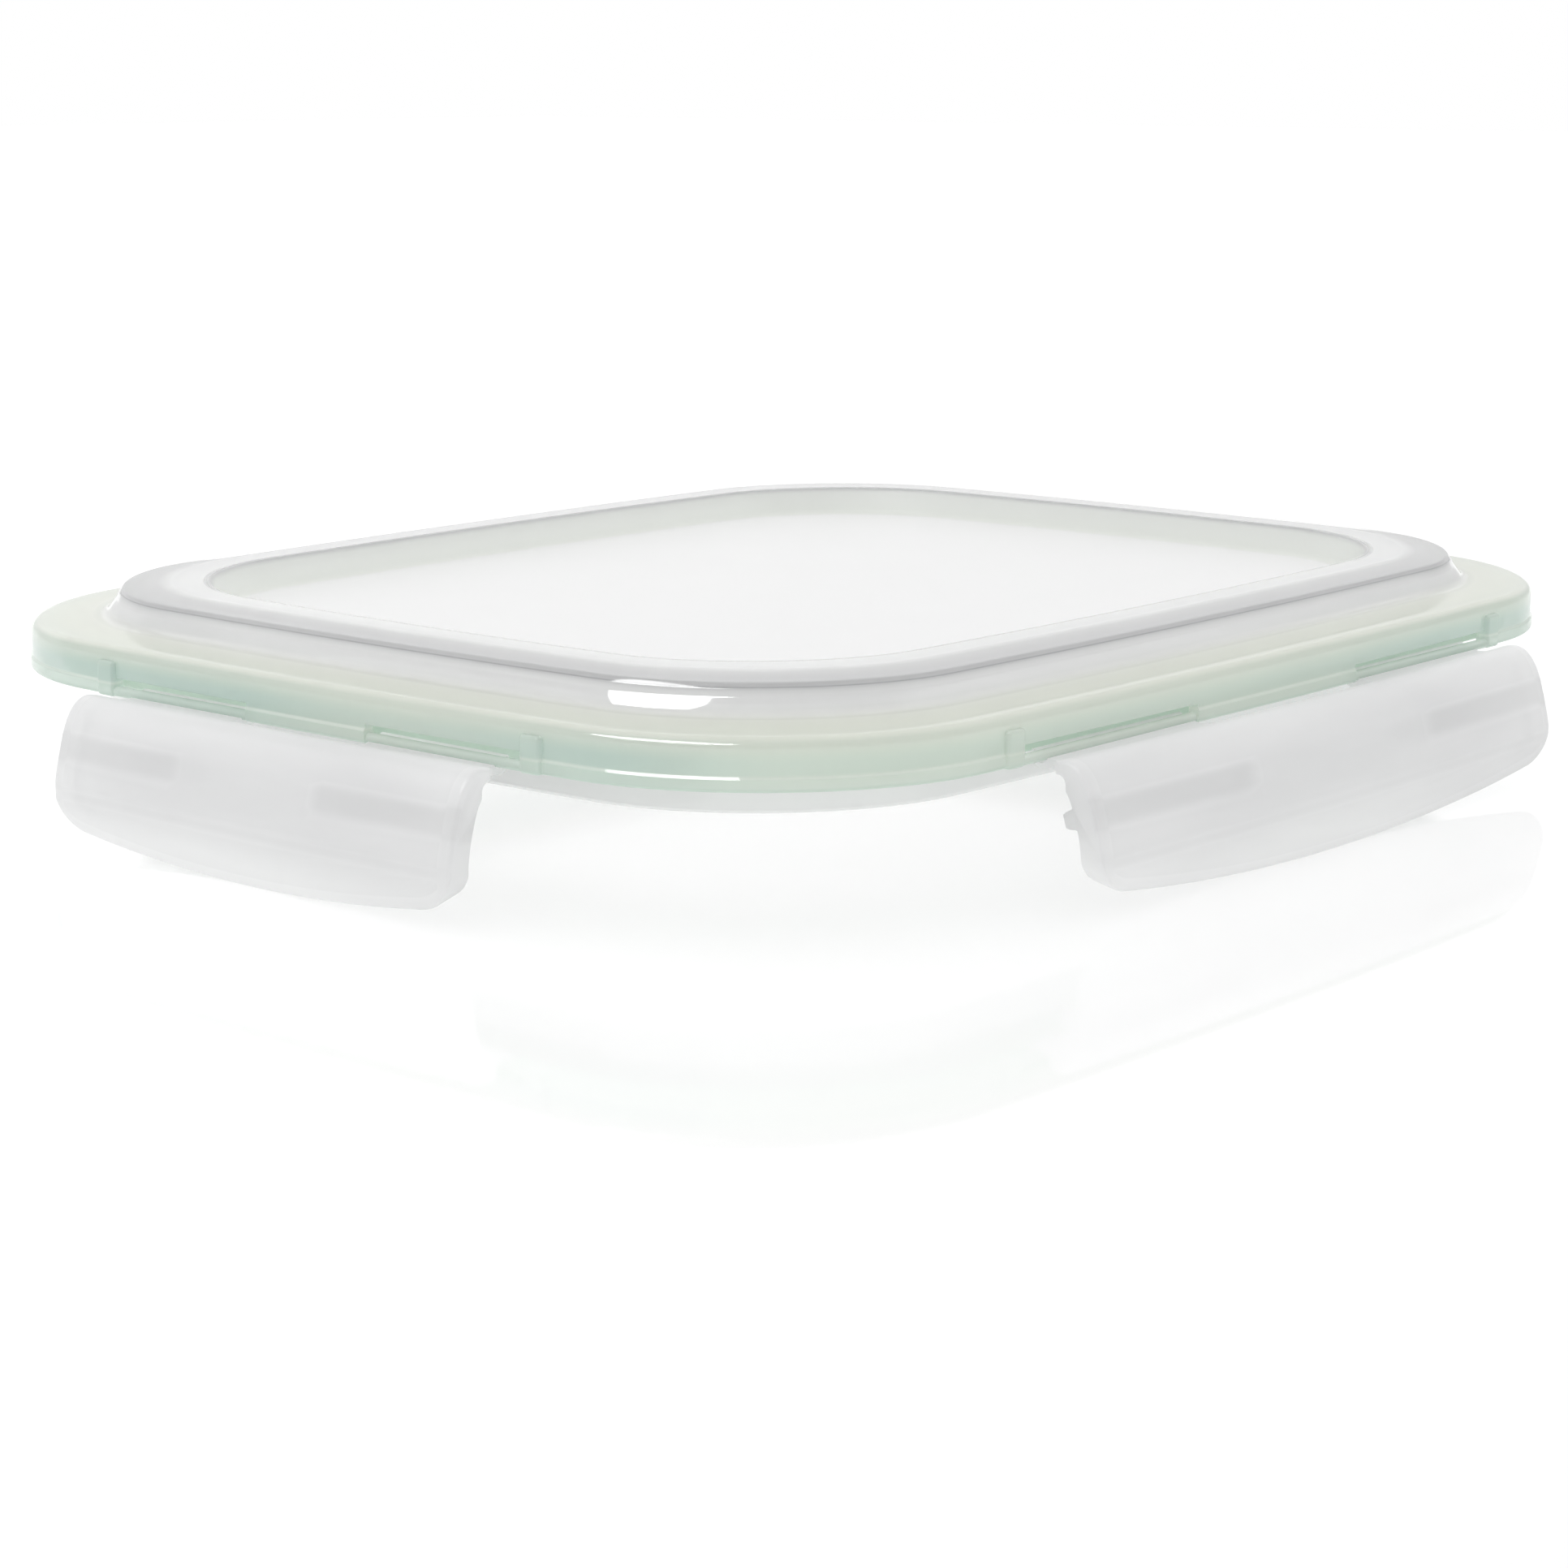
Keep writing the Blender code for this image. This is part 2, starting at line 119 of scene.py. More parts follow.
def outline(inset, height):
    """The lid's rounded, bowed outline, this far inside the flange's edge."""
    ax, ay = HALF_X - inset, HALF_Y - inset
    radius = max(1.2, CORNER_R - CORNER_R_SLOPE * inset)
    radius = min(radius, ax - 0.2)
    flat = []
    for k, (sx, sy) in enumerate(((1, 1), (-1, 1), (-1, -1), (1, -1))):
        for j in range(CORNER_STEPS + 1):
            a = math.radians(90 * k + 90 * j / CORNER_STEPS)
            flat.append((sx * (ax - radius) + radius * math.cos(a),
                         sy * (ay - radius) + radius * math.sin(a)))
        steps = SHORT_STEPS if k % 2 == 0 else LONG_STEPS
        last = flat[-1]
        nx, ny = ((-1, 1), (-1, -1), (1, -1), (1, 1))[k]
        a = math.radians(90 * (k + 1))
        following = (nx * (ax - radius) + radius * math.cos(a),
                     ny * (ay - radius) + radius * math.sin(a))
        for j in range(1, steps):
            t = j / steps
            flat.append((last[0] + (following[0] - last[0]) * t,
                         last[1] + (following[1] - last[1]) * t))
    bow = SIDE_BOW * min(1.0, max(0.0, ax / 40.0))
    return [
        Vector((x * (1 + bow * (1 - (y / ay) ** 2) / ax),
                y * (1 + bow * (1 - (x / ax) ** 2) / ay),
                SKIRT_Z + height)) * MM
        for x, y in flat
    ]


def loft(name, loops, ring):
    """A closed mesh through loops of equal count."""
    bm = bmesh.new()
    rows = [[bm.verts.new(point) for point in loop] for loop in loops]
    for i in range(len(rows) if ring else len(rows) - 1):
        a, b = rows[i], rows[(i + 1) % len(rows)]
        for j in range(len(a)):
            k = (j + 1) % len(a)
            bm.faces.new((a[j], a[k], b[k], b[j]))
    if not ring:
        bm.faces.new(rows[0])
        bm.faces.new(rows[-1])
    bmesh.ops.recalc_face_normals(bm, faces=bm.faces)
    mesh = bpy.data.meshes.new(name)
    bm.to_mesh(mesh)
    bm.free()
    return mesh


def link(name, mesh):
    obj = bpy.data.objects.new(name, mesh)
    bpy.context.scene.collection.objects.link(obj)
    return obj


def cut_or_join(mesh, others):
    """The mesh after Booleans with the other meshes, as (mesh, operation)."""
    body = link("boolean_body", mesh)
    tools = []
    for other, operation in others:
        tool = link("boolean_tool", other)
        modifier = body.modifiers.new(operation, "BOOLEAN")
        modifier.operation, modifier.object = operation, tool
        modifier.solver = "EXACT"
        tools.append(tool)
    bpy.context.view_layer.update()
    graph = bpy.context.evaluated_depsgraph_get()
    made = bpy.data.meshes.new_from_object(body.evaluated_get(graph))
    for tool in tools + [body]:
        bpy.data.objects.remove(tool, do_unlink=True)
    return made


def smooth(mesh, degrees=32):
    mesh.shade_smooth()
    mesh.set_sharp_from_angle(angle=math.radians(degrees))


def face_at(side, s):
    across, along = SIDES[side][5:7]
    return across + SIDE_BOW * (1 - (s / along) ** 2)


def axis_out(side):
    return face_at(side, 0.65 * SIDES[side][1]) - AXIS_INSET


def side_matrix(side):
    """From a side's frame (x along the hinge, y outward, z up, on the hinge
    axis) to the world."""
    turn = Matrix.Rotation(math.radians(SIDES[side][0]), 4, "Z")
    place = Vector((0, axis_out(side), SKIRT_Z + AXIS_Z)) * MM
    return turn @ Matrix.Translation(place)


# --- the clear lid --------------------------------------------------------------
lid_profile = rounded([
    (PANEL_EDGE + 3.0, PANEL_TOP, 0, 0),
    (PANEL_EDGE, PANEL_TOP, 1.0, 7),
    (RIM_INNER, RIM_TOP, 0.9, 9),
    (15.5, RIM_TOP, 7.0, 3),
    (RIM_EDGE + 0.2, RIM_TOP - 0.55, 0.5, 6),
    (RIM_EDGE - 0.25, RIM_TOP - 1.25, 0.35, 4),
    (RIM_EDGE - 0.6, FLANGE_TOP + 2.1, 1.4, 5),
    (RIM_FOOT + 0.4, FLANGE_TOP, 1.5, 8),
    (BEAD_PROUD, FLANGE_EDGE, BULLNOSE_R, 14),
    (BEAD_PROUD, BEAD_TOP + 0.30, 0.14, 3),
    (0.0, BEAD_TOP - 0.08, 0.14, 3),
    (0.0, 0.0, 0.35, 4),
    (SKIRT_WALL, 0.0, 0.35, 4),
    (SKIRT_WALL, FLANGE_UNDER, 0.7, 5),
    (PLUG_OUTER, FLANGE_UNDER, 0.5, 4),
    (PLUG_OUTER, PLUG_BOTTOM, 0.5, 5),
    (PLUG_INNER, PLUG_BOTTOM, 0.5, 5),
    (PLUG_INNER, 5.5, 1.2, 3),
    (12.5, 9.25, 0.7, 5),
    (18.9, 9.5, 0.7, 5),
    (19.8, PANEL_UNDER, 0.8, 5),
    (PANEL_EDGE + 3.0, PANEL_UNDER, 0, 0),
], is_open=True)
lid_profile = spread(lid_profile, 1.1)
to_middle = (28.0, 36.0, 46.0, 56.0, 64.0, 71.0, 75.5)
lid_profile = (
    [Vector((d, PANEL_TOP)) for d in reversed(to_middle)]
    + lid_profile
    + [Vector((d, PANEL_UNDER)) for d in to_middle]
)


def box_mesh(bm, matrix, lo, hi, bevel=0.0):
    before = set(bm.verts)
    made = bmesh.ops.create_cube(bm, size=1.0)["verts"]
    for vert in made:
        vert.co = Vector((lo[i] + (vert.co[i] + 0.5) * (hi[i] - lo[i]) for i in range(3)))
    if bevel:
        edges = list({edge for vert in made for edge in vert.link_edges})
        bmesh.ops.bevel(bm, geom=edges, offset=bevel, segments=5, profile=0.5,
                        affect="EDGES", clamp_overlap=True)
    for vert in set(bm.verts) - before:
        vert.co = matrix @ (Vector(vert.co) * MM)


def to_mesh(bm, name):
    mesh = bpy.data.meshes.new(name)
    bm.to_mesh(mesh)
    bm.free()
    return mesh


notch_bm, pin_bm, lug_bm = bmesh.new(), bmesh.new(), bmesh.new()
for side, (_, half, notch_in, notch_out, *_) in SIDES.items():
    place = side_matrix(side)
    for sign in (-1, 1):
        ends = sorted((sign * notch_in, sign * notch_out))
        middle = face_at(side, (notch_in + notch_out) / 2) - axis_out(side)
        box_mesh(
            notch_bm, place,
            (ends[0], middle - NOTCH_DEPTH, -AXIS_Z - 1.5),
            (ends[1], middle + 2.9, NOTCH_TOP - AXIS_Z),
        )
        bmesh.ops.create_cone(
            pin_bm, cap_ends=True, segments=36, radius1=PIN_R * MM,
            radius2=PIN_R * MM, depth=(notch_out - notch_in + 2.4) * MM,
            matrix=place
            @ Matrix.Translation(Vector(((ends[0] + ends[1]) / 2, 0, 0)) * MM)
            @ Matrix.Rotation(math.radians(90), 4, "Y"),
        )
        lug = sorted((sign * (notch_out - 0.3), sign * (notch_out + LUG_LENGTH - 0.3)))
        proud = face_at(side, notch_out + LUG_LENGTH / 2) - axis_out(side)
        box_mesh(
            lug_bm, place,
            (lug[0], proud - 1.3, -AXIS_Z - 0.12),
            (lug[1], proud + LUG_PROUD, LUG_TOP - AXIS_Z),
            bevel=0.5,
        )
lid_loops = [outline(p.x, p.y) for p in lid_profile]
lid_mesh = cut_or_join(
    loft("lid_shell", lid_loops, ring=False),
    [(to_mesh(notch_bm, "notches"), "DIFFERENCE"),
     (to_mesh(pin_bm, "pins"), "UNION"),
     (to_mesh(lug_bm, "lugs"), "UNION")],
)
lid_mesh.name = "lid_shell"
smooth(lid_mesh)
# How far inside the flange's edge each point lies, for the material's zones.
tree = KDTree(sum(len(loop) for loop in lid_loops))
insets = []
for loop, at in zip(lid_loops, lid_profile):
    for point in loop:
        tree.insert(point, len(insets))
        insets.append(at.x)
tree.balance()
layer = lid_mesh.attributes.new("inset", "FLOAT", "POINT")
layer.data.foreach_set("value", [insets[tree.find(v.co)[1]] for v in lid_mesh.vertices])
lid = link("lid_shell", lid_mesh)
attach(lid, "lid")
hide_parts("lid_body")

# --- the seal ring --------------------------------------------------------------
seal_profile = rounded([
    (SEAL_OUTER, SEAL_BOTTOM, 0.3, 5),
    (SEAL_OUTER, SEAL_TOP, 0.3, 5),
    (SEAL_INNER, SEAL_TOP, 0.3, 5),
    (SEAL_INNER, SEAL_WEB, 0.3, 5),
    (6.9, SEAL_WEB, 0.3, 3),
    (6.3, SEAL_WEB - 0.7, 0.3, 5),
    (5.7, SEAL_WEB, 0.3, 3),
    (SEAL_LEG, SEAL_WEB, 0.3, 4),
    (SEAL_LEG, SEAL_BOTTOM, 0.3, 5),
])
seal_mesh = loft("seal_soft_ring", [outline(p.x, p.y) for p in seal_profile], ring=True)
smooth(seal_mesh, 40)
seal = link("seal_soft_ring", seal_mesh)
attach(seal, "lid")
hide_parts("seal_ring")


# --- the latches ----------------------------------------------------------------
def smooth_curve(points, per_span=16):
    """Catmull-Rom curve through the points."""
    found = []
    padded = [points[0], *points, points[-1]]
    for i in range(1, len(padded) - 2):
        p0, p1, p2, p3 = (Vector(p) for p in padded[i - 1:i + 3])
        for j in range(per_span):
            t = j / per_span
            found.append(0.5 * (
                2 * p1 + (p2 - p0) * t + (2 * p0 - 5 * p1 + 4 * p2 - p3) * t ** 2
                + (3 * p1 - p0 - 3 * p2 + p3) * t ** 3
            ))
    found.append(Vector(points[-1]))
    return found


curve = smooth_curve(LATCH_PROFILE)
lengths = [0.0]
for a, b in zip(curve, curve[1:]):
    lengths.append(lengths[-1] + (b - a).length)


def at_length(length):
    """Point of the latch's outer profile, this far along it."""
    length = max(0.0, min(lengths[-1], length))
    i = 1
    while i < len(lengths) - 1 and lengths[i] < length:
        i += 1
    t = (length - lengths[i - 1]) / (lengths[i] - lengths[i - 1])
    return curve[i - 1].lerp(curve[i], t)


def on_profile(length):
    """Point of the outer profile and the direction of its wall's thickness."""
    along = (at_length(length + 2.2) - at_length(length - 2.2)).normalized()
    return at_length(length), Vector((-along.y, along.x))


def evened(length):
    """The outer profile's point with the crease smoothed away."""
    reach = max(0.0, min(2.6, length, lengths[-1] - length))
    points = [at_length(length + reach * k / 4) for k in range(-4, 5)]
    return sum(points, Vector((0.0, 0.0))) / len(points)


def length_at_height(height):
    for i in range(len(curve) - 1, 0, -1):
        if curve[i - 1].y >= height:
            t = (curve[i - 1].y - height) / (curve[i - 1].y - curve[i].y)
            return lengths[i - 1] + (lengths[i] - lengths[i - 1]) * t
    return 0.0


def step(x, lo, hi):
    """0 below lo, 1 above hi, with a smooth passage."""
    t = max(0.0, min(1.0, (x - lo) / (hi - lo)))
    return t * t * (3 - 2 * t)


def edge_round(distance, radius):
    """How far a rounded edge falls back, this far in from the edge."""
    x = max(0.0, radius - distance)
    return radius - math.sqrt(max(0.0, radius * radius - x * x))


EDGE_R = 0.62
CREASE_AT = length_at_height(-11.2)


def latch_mesh(side):
    """The frosted plate with its turned-in walls and catch ridges. Its float
    attribute holds how much plastic lies behind the outer face plus a band
    along the crease; the material paints shade and a little light from it."""
    _, half, notch_in, notch_out, rise, _, _ = SIDES[side]
    ridge_from = notch_in + 0.8
    corner, corner_up = LATCH_CORNER
    bend = half - corner
    is_short = half < 50.0
    edges = [EDGE_R * (1 - math.cos(math.radians(18 * k))) for k in range(6)]

    def section(s):
        a = abs(s)
        bottom = LATCH_PROFILE[-1][1] + rise * (a / half) ** 2
        if a > bend:
            bottom += corner_up * (
                1 - math.sqrt(max(0.0, 1 - ((a - bend) / corner) ** 2)))
        end = length_at_height(bottom)
        top = [e * 0.7 for e in edges]
        rows = top + [0.9, 1.4, 2.0, 2.7, 3.4, 4.1, 4.8, 5.5, 6.2, 6.9, 7.6, 8.3, 8.9]
        ridge_lo, ridge_hi = RIDGE_AT - RIDGE_HALF, RIDGE_AT + RIDGE_HALF
        rows += [ridge_lo - 0.15, ridge_lo - 0.02, ridge_lo + 0.1, ridge_lo + 0.28,
                 ridge_lo + 0.55, ridge_lo + 0.95, RIDGE_AT, ridge_hi - 0.95,
                 ridge_hi - 0.55, ridge_hi - 0.28, ridge_hi - 0.1, ridge_hi + 0.02,
                 ridge_hi + 0.15]
        base = rows[-1]
        lower = [(14.0, 14.6, 15.2, 15.8, 16.2, 16.6, 17.0, 17.5, 18.1, 18.8, 19.5)[k]
                 for k in range(11)]
        lip = min(END_WALL, 0.55 * (end - base))
        last = [end - lip - 0.13 * lip, end - lip, end - 0.8 * lip, end - 0.55 * lip]
        last += [end - e * lip / END_WALL for e in reversed(edges)]
        room = last[0] - 0.05 * lip - base
        scale = room / (lower[-1] + 0.5 - base)
        rows += [base + (row - base) * scale for row in lower] + last
        over = max(0.0, a - (half - ROOF_CORNER_R))
        start = ROOF_CORNER_R - math.sqrt(max(0.0, ROOF_CORNER_R ** 2 - over ** 2))
        rows = [start + row * (1 - start / 9.0) if row < 9.0 else row for row in rows]
        out_face = face_at(side, s) - axis_out(side)
        near_end = edge_round(half - a, EDGE_R)
        is_wall = step(a, half - END_WALL - 0.35, half - END_WALL)
        is_ridge = step(a, ridge_from - 0.35, ridge_from)
        is_behind = step(a, ridge_from - 1.0, ridge_from + 2.0)
        lip_t = BOTTOM_T + (END_T - BOTTOM_T) * step(a, half - 9.0, half - 3.0)
        outer, inner, backing_and_crease_shade = [], [], []
        for row in rows:
            point, normal = on_profile(row)
            even = point.lerp(evened(row), is_wall)
            wall = PLATE_T + (END_T - PLATE_T) * step(row, 1.5, 7.0)
            depth = PLATE_T + (wall - PLATE_T) * is_wall
            turned = step(row, end - 1.13 * lip, end - 0.97 * lip)
            depth = max(depth, PLATE_T + (lip_t - PLATE_T) * turned)
            across = min(1.0, max(0.0, (RIDGE_HALF + 0.02 - abs(row - RIDGE_AT)) / 0.62))
            bulge = math.sqrt(max(0.0, 1 - (1 - across) ** 2)) * is_ridge
            reach = bulge * (1 - is_wall) if is_short else bulge
            if reach > 0:
                depth = max(depth, PLATE_T + (RIDGE_T - PLATE_T) * reach)
            skin = max(near_end, edge_round(row - start, 0.45), edge_round(end - row, EDGE_R))
            if row - start < 0.5:
                depth -= edge_round(row - start, 0.3)
            if half - a < 0.4:
                depth -= edge_round(half - a, 0.4) * 0.7
            if end - row < 0.3:
                depth -= edge_round(end - row, 0.3) * 0.6
            # Painted shade value: ridges behind the face and the end walls darken the colour, the band
            # along the crease is pure painted shade, and the turned lips come out a touch lighter as a
            # painted highlight.
            body = (0.62 * is_behind * step(2.5 - abs(row - RIDGE_AT), 0.0, 1.5)
                    + 0.3 * is_wall + 0.22 * turned * (1 - is_wall)
                    + 0.45 * (1 - is_wall) * step(1.3 - abs(row - CREASE_AT), 0.0, 1.3))
            backing_and_crease_shade.append(body)
            for found, base_at, inset in ((outer, point, skin),
                                          (inner, even, max(depth, skin + 0.5))):
                spot = base_at - normal * inset
                found.append(Vector((s, spot.x + out_face, spot.y - AXIS_Z)) * MM)
        return outer + inner[::-1], backing_and_crease_shade + backing_and_crease_shade[::-1]

    marks = [half - e for e in edges] + [half - 0.95, half - 1.3, half - END_WALL + 0.1,
                                         half - END_WALL, half - END_WALL - 0.12,
                                         half - END_WALL - 0.24, half - END_WALL - 0.36]
    marks += [bend + corner * f for f in (0.0, 0.09, 0.18, 0.26, 0.34, 0.41, 0.48, 0.54, 0.60, 0.65, 0.70)]
    marks += [ridge_from - 0.36, ridge_from - 0.24, ridge_from - 0.12, ridge_from]
    flat_to = bend
    marks += [ridge_from + (flat_to - ridge_from) * k / 9 for k in range(1, 9)]
    marks += [(ridge_from - 0.36) * k / 7 for k in range(7)]
    stations = sorted({-m for m in marks} | set(marks))
    loops, backing_and_crease_shades = zip(*[section(s) for s in stations])
    shell = loft("shell", loops, ring=False)
    layer = shell.attributes.new("backing_and_crease_shade", "FLOAT", "POINT")
    layer.data.foreach_set("value", [t for row in backing_and_crease_shades for t in row])

    def arc(radius, start, end, steps):
        return [
            (radius * math.cos(math.radians(start + (end - start) * j / steps)),
             radius * math.sin(math.radians(start + (end - start) * j / steps)))
            for j in range(steps + 1)
        ]

    plate = face_at(side, 0.65 * half) - axis_out(side)
    outline_2d = (
        arc(KNUCKLE_IN, KNUCKLE_TO, KNUCKLE_FROM, 26)
        + [(KNUCKLE_OUT * math.cos(math.radians(KNUCKLE_FROM)),
            KNUCKLE_OUT * math.sin(math.radians(KNUCKLE_FROM))),
           (plate + 2.9, 0.30 - AXIS_Z), (plate + 4.7, 0.55 - AXIS_Z),
           (plate + 4.7, -0.25 - AXIS_Z), (plate + 2.8, -0.85 - AXIS_Z)]
        + arc(KNUCKLE_OUT, -75.0, KNUCKLE_TO, 18)
    )
    knuckles = []
    for sign in (-1, 1):
        span = sorted((sign * (notch_in + 0.8), sign * (half - KNUCKLE_END)))
        loops = [[Vector((s, y, z)) * MM for y, z in outline_2d] for s in span]
        knuckles.append((loft("knuckle", loops, ring=False), "UNION"))
    mesh = cut_or_join(shell, knuckles)
    smooth(mesh, 38)
    return mesh


latches = {}
shapes = {"short": latch_mesh("rear_latch"), "long": latch_mesh("left_latch")}
for side in SIDES:
    mesh = shapes["short" if side in ("rear_latch", "front_latch") else "long"].copy()
    mesh.name = side + "_plate"
    obj = link(side + "_plate", mesh)
    obj.matrix_world = side_matrix(side)
    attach(obj, side)
    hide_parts(side)
    latches[side] = obj


# --- materials ------------------------------------------------------------------
class Nodes:
    """Short hand for building a material's nodes."""

    def __init__(self, name, is_world=False):
        if is_world:
            self.owner = bpy.data.worlds.new(name)
        else:
            self.owner = bpy.data.materials.new(name)
        self.owner.use_nodes = True
        self.tree = self.owner.node_tree
        self.tree.nodes.clear()

    def add(self, kind, **settings):
        node = self.tree.nodes.new(kind)
        for key, value in settings.items():
            if key.startswith("in_"):
                node.inputs[key[3:].replace("_", " ")].default_value = value
            else:
                setattr(node, key, value)
        return node

    def join(self, source, target):
        self.tree.links.new(source, target)

    def noise(self, scale, detail=3.0, roughness=0.5, coords=None):
        node = self.add("ShaderNodeTexNoise", in_Scale=scale, in_Detail=detail,
                        in_Roughness=roughness)
        if coords is not None:
            self.join(coords, node.inputs["Vector"])
        return node.outputs["Fac"]

    def mapped(self, value, lo, hi, from_lo=0.0, from_hi=1.0):
        node = self.add("ShaderNodeMapRange")
        node.inputs["From Min"].default_value = from_lo
        node.inputs["From Max"].default_value = from_hi
        node.inputs["To Min"].default_value = lo
        node.inputs["To Max"].default_value = hi
        self.join(value, node.inputs["Value"])
        return node.outputs["Result"]

    def mix_colour(self, factor, a, b):
        node = self.add("ShaderNodeMix", data_type="RGBA")
        for value, socket in ((factor, 0), (a, 6), (b, 7)):
            if isinstance(value, (int, float, tuple)):
                node.inputs[socket].default_value = value
            else:
                self.join(value, node.inputs[socket])
        return node.outputs[2]

    def math(self, operation, a, b=0.0):
        node = self.add("ShaderNodeMath", operation=operation)
        for value, socket in ((a, 0), (b, 1)):
            if isinstance(value, (int, float)):
                node.inputs[socket].default_value = value
            else:
                self.join(value, node.inputs[socket])
        return node.outputs[0]

    def mix_shader(self, factor, a, b):
        node = self.add("ShaderNodeMixShader")
        if isinstance(factor, (int, float)):
            node.inputs[0].default_value = factor
        else:
            self.join(factor, node.inputs[0])
        self.join(a, node.inputs[1])
        self.join(b, node.inputs[2])
        return node.outputs[0]

    def bump(self, height, strength, distance):
        node = self.add("ShaderNodeBump", in_Strength=strength, in_Distance=distance)
        self.join(height, node.inputs["Height"])
        return node.outputs["Normal"]

    def finish(self, surface, volume=None):
        out = self.add("ShaderNodeOutputMaterial")
        self.join(surface, out.inputs["Surface"])
        if volume is not None:
            self.join(volume, out.inputs["Volume"])
        return self.owner


def grey(value, alpha=1.0):
    return (value, value, value, alpha)


def clear_plastic():
    """Milky clear plastic: part glass, part haze. The seal's mint and the ivory
    of the flange show through the outer zone, picked out by height and inset.
    The zone colours also hold painted highlights along the bead and the
    bullnose's crest, and painted shade in dark lines and on the rim's bevel."""
    n = Nodes("clear_plastic_look")
    coords = n.add("ShaderNodeTexCoord").outputs["Object"]
    parts = n.add("ShaderNodeSeparateXYZ")
    n.join(coords, parts.inputs[0])
    height = n.mapped(parts.outputs["Z"], 0.0, 1.0, (SKIRT_Z - 5.0) * MM, (SKIRT_Z + 12.0) * MM)
    inset = n.add("ShaderNodeAttribute", attribute_name="inset").outputs["Fac"]
    smudge = n.noise(60.0, 4.0, 0.6, coords)
    flow = n.noise(22.0, 2.0, 0.45, coords)

    def at(z):
        return (z + 5.0) / 17.0

    skirt = n.add("ShaderNodeValToRGB")
    n.join(height, skirt.inputs[0])
    ramp = skirt.color_ramp
    ramp.elements[0].position, ramp.elements[0].color = 0.0, (0.98, 0.98, 0.985, 1)
    ramp.elements[1].position, ramp.elements[1].color = 1.0, (0.80, 0.80, 0.80, 1)
    # Painted highlights: the light band at z 1.75 runs along the bead's ledge, and the pale band at z 6.35
    # is partly the flange's ivory and partly a painted highlight along the bullnose's crest.
    for z, colour in (
        (-0.15, (0.98, 0.98, 0.985, 1)), (0.02, (0.63, 0.73, 0.67, 1)),
        (1.5, (0.665, 0.765, 0.70, 1)), (1.75, (0.80, 0.86, 0.80, 1)),
        (2.1, (0.59, 0.70, 0.66, 1)), (3.6, (0.59, 0.70, 0.66, 1)),
        (4.6, (0.65, 0.735, 0.675, 1)), (5.9, (0.695, 0.745, 0.68, 1)),
        (6.35, (0.95, 0.94, 0.88, 1)), (6.6, (0.89, 0.89, 0.82, 1)),
        (7.4, (0.93, 0.925, 0.88, 1)), (8.2, (0.89, 0.89, 0.88, 1)),
    ):
        ramp.elements.new(at(z)).color = colour
    # Painted shade: the dark line just under the rim's edge (inset 10.18-10.26), the darker bevel on the
    # rim's outer half (10.32-14.4) and the dark band at the rim's inner rounding (19.75-20.45) stand in
    # for the dark lines and reflections the clear rim shows.
    inner = n.add("ShaderNodeValToRGB")
    n.join(n.mapped(inset, 0.0, 1.0, 8.0, 30.0), inner.inputs[0])
    ramp = inner.color_ramp
    ramp.elements[0].position, ramp.elements[0].color = 0.0, (0.89, 0.89, 0.88, 1)
    ramp.elements[1].position, ramp.elements[1].color = 1.0, (0.92, 0.92, 0.92, 1)
    for d, colour in (
        (9.9, (0.86, 0.86, 0.865, 1)), (10.14, (0.70, 0.70, 0.71, 1)),
        (10.18, (0.34, 0.34, 0.35, 1)), (10.26, (0.34, 0.34, 0.35, 1)),
        (10.32, (0.52, 0.52, 0.53, 1)), (11.4, (0.56, 0.56, 0.57, 1)),
        (14.4, (0.62, 0.62, 0.625, 1)),
        (16.0, (0.82, 0.82, 0.825, 1)), (19.5, (0.84, 0.84, 0.845, 1)),
        (19.75, (0.50, 0.50, 0.51, 1)), (20.45, (0.52, 0.52, 0.53, 1)),
        (20.8, (0.84, 0.865, 0.82, 1)), (21.7, (0.88, 0.90, 0.85, 1)),
        (22.4, (0.92, 0.92, 0.92, 1)),
    ):
        ramp.elements.new((d - 8.0) / 22.0).color = colour
    # The seal lies unevenly behind the skirt, so the mint comes and goes.
    seal_zone = n.math("MULTIPLY", n.mapped(parts.outputs["Z"], 0.0, 1.0, SKIRT_Z * MM,
                                            (SKIRT_Z + 0.6) * MM),
                       n.mapped(n.noise(16.0, 1.5, 0.4, coords), 0.0, 0.55, 0.42, 0.64))
    tinted = n.mix_colour(seal_zone, skirt.outputs[0], (0.80, 0.82, 0.755, 1))
    colour = n.mix_colour(n.mapped(inset, 0.0, 1.0, 7.9, 9.3), tinted, inner.outputs[0])
    haze = n.add("ShaderNodeValToRGB")
    n.join(n.mapped(inset, 0.0, 1.0, 0.0, 30.0), haze.inputs[0])
    ramp = haze.color_ramp
    ramp.elements[0].position, ramp.elements[0].color = 0.0, grey(0.64)
    ramp.elements[1].position, ramp.elements[1].color = 1.0, grey(0.86)
    for d, amount in ((7.0, 0.72), (9.0, 0.52), (10.2, 0.62), (15.2, 0.60),
                      (16.4, 0.50), (20.0, 0.50), (21.4, 0.62), (22.2, 0.88)):
        ramp.elements.new(d / 30.0).color = grey(amount)
    cloudy = n.math("ADD", haze.outputs[0], n.mapped(flow, -0.04, 0.04, 0.3, 0.7))
    cloudy = n.math("MAXIMUM", cloudy, n.mapped(
        parts.outputs["Z"], 0.9, 0.0, (SKIRT_Z - 0.5) * MM, (SKIRT_Z + 0.3) * MM))

